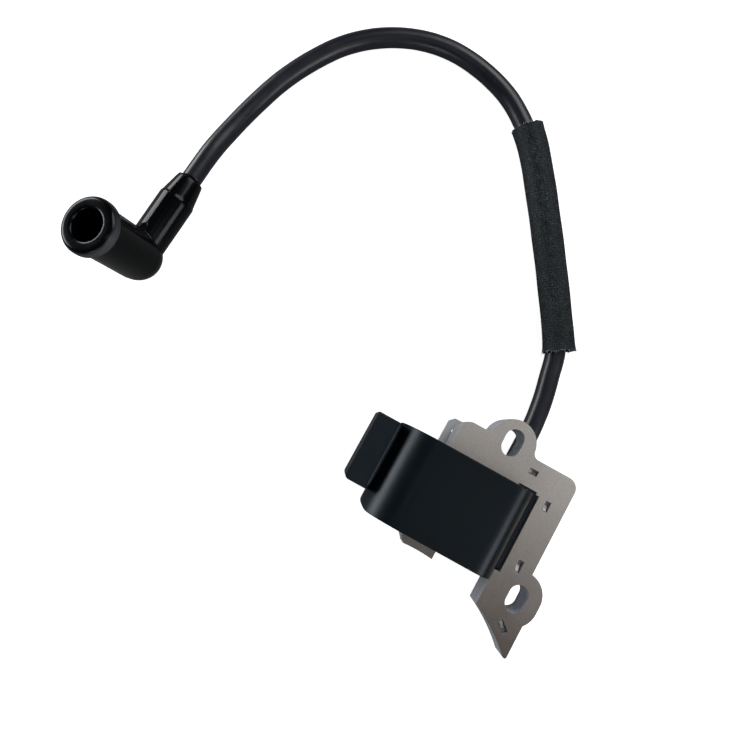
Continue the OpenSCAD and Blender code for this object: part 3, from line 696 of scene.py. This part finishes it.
def makeBoot():
    b = boot
    top = b["length"]
    lipBase = top - b["lipHeight"]
    barrel = np.vstack([
        arc(0, 0, b["barrel"], -90, 0, 24),
        arc(b["barrel"] + 0.9, lipBase - 0.9, 0.9, 180, 90, 6),
        arc(b["lip"] - 1.3, lipBase + 1.3, 1.3, -60, 0, 6),
        arc(b["lip"] - 1.5, top - 1.5, 1.5, 0, 90, 10),
        arc(b["bore"] + 0.7, top - 0.7, 0.7, 90, 180, 8),
        [[b["bore"], b["boreFloor"] + 0.3], [b["bore"] - 0.1, b["boreFloor"]],
         [b["cell"], b["boreFloor"]], [b["cell"], b["cellFloor"]], [0, b["cellFloor"]]],
    ])
    arm = np.vstack([
        [[b["leadHole"], b["armStart"]], [b["arm"], b["armStart"]],
         [b["arm"], b["shoulder"] - 0.8]],
        arc(b["arm"] - 1.2, b["shoulder"] - 0.8, 1.2, 0, 40, 5),
        [[b["collar"] + 0.25, b["armLength"] - 1.6]],
        arc(b["collar"] - 0.45, b["armLength"] - 0.45, 0.45, 10, 90, 5),
        [[b["leadHole"], b["armLength"]], [b["leadHole"], b["armStart"]]],
    ])
    shapes = []
    for profile, axis, across in ((barrel, barrelAxis, bootSide), (arm, armAxis, bootSide)):
        profile = evenProfile(profile)
        shapes.append((revolvePoints(profile, elbow, axis, across, b["turns"]),
                       gridFaces(len(profile), b["turns"])))
    # web in the inner corner: an ellipsoid squeezed across, between the barrel and the arm
    u = np.linspace(0, np.pi, 25)[:, None]
    v = np.linspace(0, 2 * np.pi, 40, endpoint=False)[None, :]
    middle = elbow + (armAxis * b["webPlace"][0] + barrelAxis * b["webPlace"][1]) * mm
    lean = unit(armAxis + barrelAxis)
    across = unit(armAxis - barrelAxis)
    long, deep, thin = (value * mm for value in b["webSize"])
    web = (middle + long * np.cos(u)[..., None] * across
           + deep * (np.sin(u) * np.cos(v))[..., None] * lean
           + thin * (np.sin(u) * np.sin(v))[..., None] * np.cross(across, lean))
    shapes.append((web, gridFaces(u.size, v.size)))
    offset = np.cumsum([0] + [s[0].shape[0] * s[0].shape[1] for s in shapes])
    points = np.vstack([s[0].reshape(-1, 3) for s in shapes])
    faces = np.vstack([s[1] + o for s, o in zip(shapes, offset)])
    rough = meshFrom("plugBootRough", points, faces, merge=1e-7)
    faceOutwards(rough)
    piece = newObject("plugBoot", rough)
    remesh = piece.modifiers.new("voxels", "REMESH")
    remesh.mode = "VOXEL"
    remesh.voxel_size = b["voxel"]
    soften = piece.modifiers.new("soften", "SMOOTH")
    soften.factor = 0.5
    soften.iterations = b["smoothing"]
    finished = bpy.data.meshes.new_from_object(
        piece.evaluated_get(bpy.context.evaluated_depsgraph_get()))
    piece.modifiers.clear()
    bpy.data.objects.remove(piece)
    finished.name = "plugBoot"
    co = np.zeros(len(finished.vertices) * 3, np.float32)
    finished.vertices.foreach_get("co", co)
    normal = np.zeros(len(finished.vertices) * 3, np.float32)
    finished.vertices.foreach_get("normal", normal)
    co = co.reshape(-1, 3).astype(float)
    normal = normal.reshape(-1, 3)
    # flash line where the mould closed: a bell-shaped ridge on the plane of both axes, only
    # outside the bore and the lead's hole, a little higher along the arm
    rel = co - elbow
    d = rel @ bootSide
    upBarrel = rel @ barrelAxis
    outArm = rel @ armAxis
    fromBarrel = np.linalg.norm(rel - upBarrel[:, None] * barrelAxis, axis=1)
    fromArm = np.linalg.norm(rel - outArm[:, None] * armAxis, axis=1)
    outside = (fromBarrel > 5.6 * mm) & ((fromArm > 3.5 * mm) | (outArm < 6 * mm))
    outside = outside & (upBarrel < (b["length"] - b["lipHeight"] - 0.6) * mm)
    ridge = np.exp(-(d / b["seamWidth"]) ** 2) * outside * b["seamHeight"]
    co = co + normal * ridge[:, None]
    finished.vertices.foreach_set("co", co.astype(np.float32).ravel())
    finished.polygons.foreach_set("use_smooth", np.ones(len(finished.polygons), bool))
    # painted reflection of the floor on the flange's outer wall: one between its two rounded edges, less on the
    # side towards the arm, nothing elsewhere
    lipMiddle = (b["length"] - b["lipHeight"] / 2) * mm
    paintedSheen = np.clip(1.9 - np.abs(upBarrel - lipMiddle) / (0.9 * mm), 0, 1)
    paintedSheen = paintedSheen * np.clip((fromBarrel - 7.4 * mm) / (0.4 * mm), 0, 1)
    paintedSheen = paintedSheen * np.clip(0.8 - outArm / (8.0 * mm), 0.15, 1)
    finished.attributes.new("paintedSheen", "FLOAT", "POINT").data.foreach_set(
        "value", paintedSheen.astype(np.float32))
    finished.update()
    print("boot:", len(finished.polygons), "faces")
    return addPiece("plugBoot", finished, "rubber", "boot_rubber", "boot", "plug_boot")


bootPiece = makeBoot()

spring = {"radius": 3.2, "wire": 0.45, "turns": 5, "low": -2.2, "high": 6.4, "tailEnd": 14.0,
          "tail": 0.8, "rings": 260, "sides": 14, "tailSides": 20}


# helix of the contact spring on the barrel's axis, then a straight tail into the lead's end
def makeSpring():
    s = spring
    rings, sides = s["rings"], s["sides"]
    t = np.linspace(0, s["turns"], rings)
    towardsArm = unit(armAxis - (armAxis @ barrelAxis) * barrelAxis)
    coil = (elbow + (s["radius"] * np.cos(2 * np.pi * t)[:, None] * towardsArm
                     - s["radius"] * np.sin(2 * np.pi * t)[:, None] * bootSide
                     + (s["low"] + t * (s["high"] - s["low"]) / s["turns"])[:, None] * barrelAxis)
            * mm)
    ahead = unit(np.gradient(coil, axis=0))
    out = unit(coil - elbow - ((coil - elbow) @ barrelAxis)[:, None] * barrelAxis)
    up = np.cross(ahead, out)
    a = np.linspace(0, 2 * np.pi, sides, endpoint=False)[None, :, None]
    size = s["wire"] * mm * np.concatenate([[0], np.ones(rings - 2), [0]])[:, None, None]
    ring = coil[:, None, :] + size * (np.cos(a) * out[:, None, :] + np.sin(a) * up[:, None, :])
    tail = np.array([(0, 2.8), (s["tail"] * 0.7, 2.8), (s["tail"], 3.1),
                     (s["tail"], s["tailEnd"] - 1.0), (0.25, s["tailEnd"]), (0, s["tailEnd"])])
    pin = revolvePoints(tail, elbow, armAxis, bootSide, s["tailSides"])
    points = np.vstack([ring.reshape(-1, 3), pin.reshape(-1, 3)])
    faces = np.vstack([gridFaces(rings, sides),
                       gridFaces(len(tail), s["tailSides"], start=rings * sides)])
    mesh = meshFrom("contactSpring", points, faces, merge=1e-8)
    faceOutwards(mesh)
    return addPiece("contactSpring", mesh, "springWire", "spring_steel", "boot",
                    "contact_spring")


springPiece = makeSpring()


# a joined copy of a CAD node: loose triangles merged and flat faces made whole
def joinedCopy(node, name, merge=2e-6, flatten=0.4):
    mesh = frame["nodes"][node].data.copy()
    mesh.name = name
    work = bmesh.new()
    work.from_mesh(mesh)
    bmesh.ops.remove_doubles(work, verts=work.verts, dist=merge)
    bmesh.ops.dissolve_limit(work, angle_limit=math.radians(flatten), verts=work.verts,
                             edges=work.edges)
    work.to_mesh(mesh)
    work.free()
    return mesh


def softEdges(piece, width, segments, angle=38):
    mesh = piece.data
    mesh.polygons.foreach_set("use_smooth", np.ones(len(mesh.polygons), bool))
    bevel = piece.modifiers.new("edges", "BEVEL")
    bevel.width = width
    bevel.segments = segments
    bevel.limit_method = "ANGLE"
    bevel.angle_limit = math.radians(angle)
    bevel.use_clamp_overlap = False
    bevel.miter_outer = "MITER_ARC"
    even = piece.modifiers.new("faceWeights", "WEIGHTED_NORMAL")
    even.mode = "FACE_AREA"
    even.weight = 100
    return piece


def softCopy(node, name, finish, slotName, edge, segments):
    piece = addPiece(name, joinedCopy(node, name), finish, slotName, "coil", node)
    return softEdges(piece, edge, segments)


core = {"edge": 0.07 * mm, "sheets": 18, "pierced": 2, "gap": 0.03 * mm, "jitter": 0.035 * mm,
        "seed": 3}

frontSheet = softCopy("front_lamination", "frontSheet", "sheetSteel", "sheet_steel",
                      core["edge"], 2)
backSheet = softCopy("back_lamination", "backSheet", "sheetSteel", "sheet_steel",
                     core["edge"], 2)


# the middle sheets: the top ones copy the pierced front sheet, the rest the whole back
# sheet, each thinned by the gap and nudged sideways by a few hundredths
def makeSheets():
    rng = np.random.default_rng(core["seed"])
    work = bmesh.new()
    low, high = (np.array(v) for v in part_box("core_stack"))
    pitch = (high[2] - low[2]) / core["sheets"]
    for i in range(core["sheets"]):
        pierced = i >= core["sheets"] - core["pierced"]
        source = frontSheet.data if pierced else backSheet.data
        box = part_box("front_lamination" if pierced else "back_lamination")
        middle = (box[0][2] + box[1][2]) / 2
        mesh = source.copy()
        co = np.zeros(len(mesh.vertices) * 3, np.float32)
        mesh.vertices.foreach_get("co", co)
        co = co.reshape(-1, 3)
        thin = (pitch - core["gap"]) / (box[1][2] - box[0][2])
        co[:, 2] = (co[:, 2] - middle) * thin + low[2] + (i + 0.5) * pitch
        co[:, :2] += rng.uniform(-1, 1, 2) * core["jitter"]
        mesh.vertices.foreach_set("co", co.ravel())
        work.from_mesh(mesh)
        bpy.data.meshes.remove(mesh)
    joined = bpy.data.meshes.new("coreSheets")
    work.to_mesh(joined)
    work.free()
    joined.polygons.foreach_set("use_smooth", np.zeros(len(joined.polygons), bool))
    return addPiece("coreSheets", joined, "coreSteel", "core_steel", "coil", "core_stack")


sheetsPiece = makeSheets()

# place, length and turn of each pressed tongue that locks the sheets together
tongues = {
    "places": [(18.8, 5.1, 2.7, 0), (26.4, -1.5, 3.0, 90), (27.3, -19.5, 3.5, 90),
               (31.1, -35.9, 3.6, -38)],
    "width": 1.15, "thick": 0.28, "start": 0.35, "depth": 1.25, "play": 0.08, "slope": 0.68,
    "rings": 18, "sides": 24,
}


# each tongue is a strip carried down a smooth step: its depth follows 3 s^2 - 2 s^3 over the
# slope's share of its length, and its corners are rounded by a fourth-power ellipse
def makeTongues():
    t = tongues
    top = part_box("front_lamination")[1][2]
    rings, sides = t["rings"], t["sides"]
    s = np.linspace(0, 1, rings)
    step = np.clip(s / t["slope"], 0, 1)
    fall = t["start"] + (t["depth"] - t["start"]) * (3 * step ** 2 - 2 * step ** 3)
    a = np.linspace(0, 2 * np.pi, sides, endpoint=False)
    square = (np.abs(np.cos(a)) ** 4 + np.abs(np.sin(a)) ** 4) ** -0.25
    wide = np.cos(a) * square * t["width"] / 2
    tall = np.sin(a) * square * t["thick"] / 2
    size = np.concatenate([[0], np.ones(rings), [0]])[:, None]
    row = np.concatenate([[0], np.arange(rings), [rings - 1]])
    points, faces = [], []
    for k, (x, y, length, turn) in enumerate(t["places"]):
        c, w = math.cos(math.radians(turn)), math.sin(math.radians(turn))
        side = size * wide
        along = ((s[row] - 0.5) * (length - t["play"]))[:, None] + 0 * side
        height = -fall[row][:, None] - t["thick"] / 2 + size * tall
        place = np.stack([x + along * c - side * w, y + along * w + side * c, height], axis=-1)
        points.append((place * mm + shift + [0, 0, top]).reshape(-1, 3))
        faces.append(gridFaces(len(row), sides, start=k * len(row) * sides))
    mesh = meshFrom("lockTongues", np.vstack(points), np.vstack(faces), merge=1e-8)
    faceOutwards(mesh)
    # the tongues take the darker steel, painted shade inside the dimples
    return addPiece("lockTongues", mesh, "shadedDimpleSteel", "core_steel", "coil")


makeTongues()
print("core sheets:", len(sheetsPiece.data.polygons), "faces")

edges = {"housing": 0.3 * mm, "block": 0.4 * mm, "blade": 0.09 * mm}

softCopy("housing_shell", "coilHousing", "shell", "housing_plastic", edges["housing"], 3)
softCopy("end_block", "endBlock", "block", "housing_plastic", edges["block"], 3)
softCopy("stop_terminal", "stopBlade", "tinned", "tinned_steel", edges["blade"], 2)

studio = {
    "floorSize": 1.6, "world": 0.06, "floorGlow": 0.85, "floorBounce": 0.34,
    "aim": (-0.02, 0.02, 0.01),
    # name, place, width, height, watts; each faces the middle of the model
    "lights": [
        ("keyLight", (-0.64, 0.05, 0.10), 0.60, 0.24, 3.2),
        ("farLight", (0.10, 0.56, 0.44), 0.55, 0.45, 2.3),
        ("rightLight", (0.60, -0.10, 0.40), 0.42, 0.32, 1.5),
        ("nearLight", (0.08, -0.66, 0.30), 0.34, 0.16, 0.6),
        ("overLight", (-0.108, 0.0, 0.62), 0.06, 0.16, 0.05),
        ("cornerLight", (0.24, -0.02, 0.58), 0.12, 0.34, 0.12),
    ],
}


# the floor shows white to the camera and stays a dimmer grey to everything it lights
def floorFinish():
    material, tree, shader = newMaterial("paleFloor", (0.93, 0.93, 0.93), roughness=0.7,
                                         Specular_IOR_Level=0.1,
                                         Emission_Strength=studio["floorGlow"])
    seen = tree.nodes.new("ShaderNodeLightPath").outputs["Is Camera Ray"]
    grey = rgb(*[studio["floorBounce"]] * 3)
    tree.links.new(mixColour(tree, seen, grey, rgb(0.93, 0.93, 0.93)),
                   shader.inputs["Base Color"])
    tree.links.new(mixColour(tree, seen, rgb(0, 0, 0), rgb(1, 1, 1)),
                   shader.inputs["Emission Color"])
    return material


def makeStudio():
    half = studio["floorSize"] / 2
    low = min(0.0, min(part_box(n)[0][2] for n in frame["nodes"]))
    corners = np.array([[-half, -half, low], [half, -half, low], [half, half, low],
                        [-half, half, low]])
    mesh = meshFrom("floor", corners, np.array([[0, 1, 2, 3]]), smooth=False)
    floor = newObject("floor", mesh)
    mesh.materials.append(floorFinish())
    world = bpy.data.worlds.new("studioWorld")
    world.use_nodes = True
    tree = world.node_tree
    seen = tree.nodes.new("ShaderNodeLightPath").outputs["Is Camera Ray"]
    strength = addNode(tree, "ShaderNodeMapRange", {"Value": seen, "To Min": studio["world"]})
    tree.nodes["Background"].inputs["Color"].default_value = rgb(1, 1, 1)
    tree.links.new(strength.outputs["Result"], tree.nodes["Background"].inputs["Strength"])
    bpy.context.scene.world = world
    for name, place, width, height, watts in studio["lights"]:
        data = bpy.data.lights.new(name, "AREA")
        data.shape = "RECTANGLE"
        data.size = width
        data.size_y = height
        data.energy = watts
        newObject(name, data).matrix_world = lookFrom(place, studio["aim"], (0, 0.01, 1))


makeStudio()
bpy.context.scene.view_settings.view_transform = "Standard"

print("scene complete")
